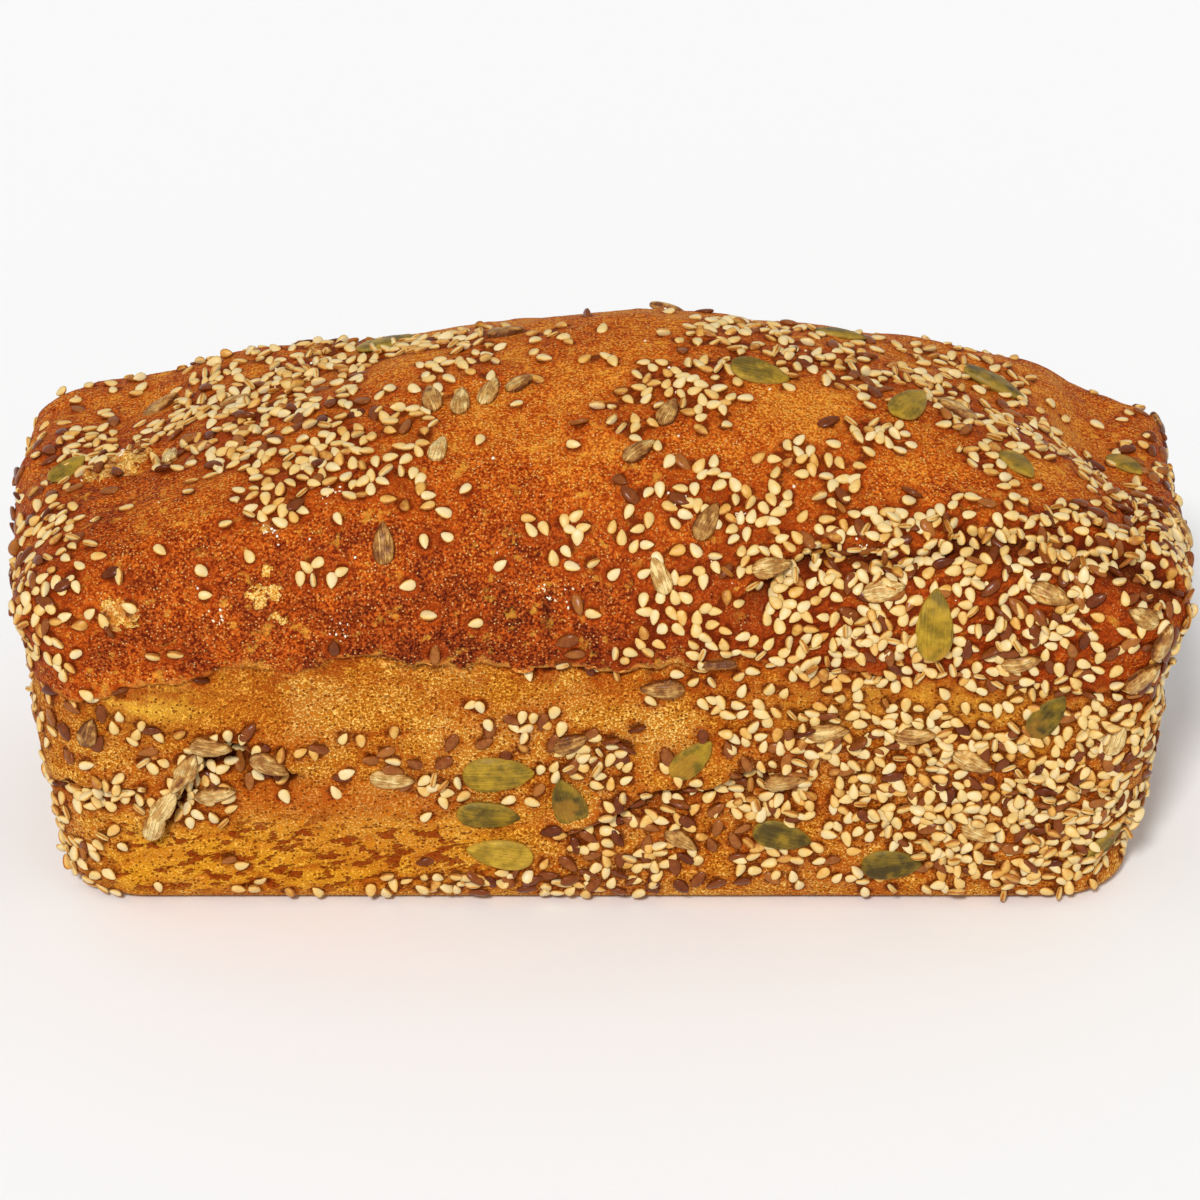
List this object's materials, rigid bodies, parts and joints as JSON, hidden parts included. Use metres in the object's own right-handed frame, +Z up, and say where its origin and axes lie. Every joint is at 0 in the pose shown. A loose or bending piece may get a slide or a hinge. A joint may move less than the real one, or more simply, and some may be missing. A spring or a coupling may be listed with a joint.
{
  "type": "seeded tin loaf",
  "caption": "Whole rectangular loaf baked in a tin: flat base, sloping walls, domed crust over the rim, pumpkin seeds and sunflower kernels on the crust.",
  "frame": {"origin": "middle of the flat base that the loaf rests on", "axes": "+X along the loaf, -Y towards its front long side, +Z up"},
  "size_m": [0.2486, 0.1125, 0.1099],
  "materials": {
    "crust": "matte",
    "pumpkin_seed": "satin",
    "sunflower_kernel": "satin",
    "sesame_seed": "satin",
    "linseed": "satin"
  },
  "bodies": {
    "root": {"loaf": "crust", "pumpkin_seed_01": "pumpkin_seed", "pumpkin_seed_02": "pumpkin_seed", "pumpkin_seed_03": "pumpkin_seed", "pumpkin_seed_04": "pumpkin_seed", "pumpkin_seed_05": "pumpkin_seed", "pumpkin_seed_06": "pumpkin_seed", "pumpkin_seed_07": "pumpkin_seed", "pumpkin_seed_08": "pumpkin_seed", "pumpkin_seed_09": "pumpkin_seed", "pumpkin_seed_10": "pumpkin_seed", "pumpkin_seed_11": "pumpkin_seed", "pumpkin_seed_12": "pumpkin_seed", "pumpkin_seed_13": "pumpkin_seed", "pumpkin_seed_14": "pumpkin_seed", "pumpkin_seed_15": "pumpkin_seed", "pumpkin_seed_16": "pumpkin_seed", "pumpkin_seed_17": "pumpkin_seed", "pumpkin_seed_18": "pumpkin_seed", "pumpkin_seed_19": "pumpkin_seed", "pumpkin_seed_20": "pumpkin_seed", "pumpkin_seed_21": "pumpkin_seed", "pumpkin_seed_22": "pumpkin_seed", "pumpkin_seed_23": "pumpkin_seed", "pumpkin_seed_24": "pumpkin_seed", "sunflower_kernel_01": "sunflower_kernel", "sunflower_kernel_02": "sunflower_kernel", "sunflower_kernel_03": "sunflower_kernel", "sunflower_kernel_04": "sunflower_kernel", "sunflower_kernel_05": "sunflower_kernel", "sunflower_kernel_06": "sunflower_kernel", "sunflower_kernel_07": "sunflower_kernel", "sunflower_kernel_08": "sunflower_kernel", "sunflower_kernel_09": "sunflower_kernel", "sunflower_kernel_10": "sunflower_kernel", "sunflower_kernel_11": "sunflower_kernel", "sunflower_kernel_12": "sunflower_kernel", "sunflower_kernel_13": "sunflower_kernel", "sunflower_kernel_14": "sunflower_kernel", "sunflower_kernel_15": "sunflower_kernel", "sunflower_kernel_16": "sunflower_kernel", "sunflower_kernel_17": "sunflower_kernel", "sunflower_kernel_18": "sunflower_kernel", "sunflower_kernel_19": "sunflower_kernel", "sunflower_kernel_20": "sunflower_kernel", "sunflower_kernel_21": "sunflower_kernel", "sunflower_kernel_22": "sunflower_kernel", "sunflower_kernel_23": "sunflower_kernel", "sunflower_kernel_24": "sunflower_kernel", "sunflower_kernel_25": "sunflower_kernel", "sunflower_kernel_26": "sunflower_kernel", "sunflower_kernel_27": "sunflower_kernel", "sunflower_kernel_28": "sunflower_kernel", "sunflower_kernel_29": "sunflower_kernel", "sunflower_kernel_30": "sunflower_kernel", "sunflower_kernel_31": "sunflower_kernel", "sunflower_kernel_32": "sunflower_kernel", "sunflower_kernel_33": "sunflower_kernel"}
  },
  "joints": []
}
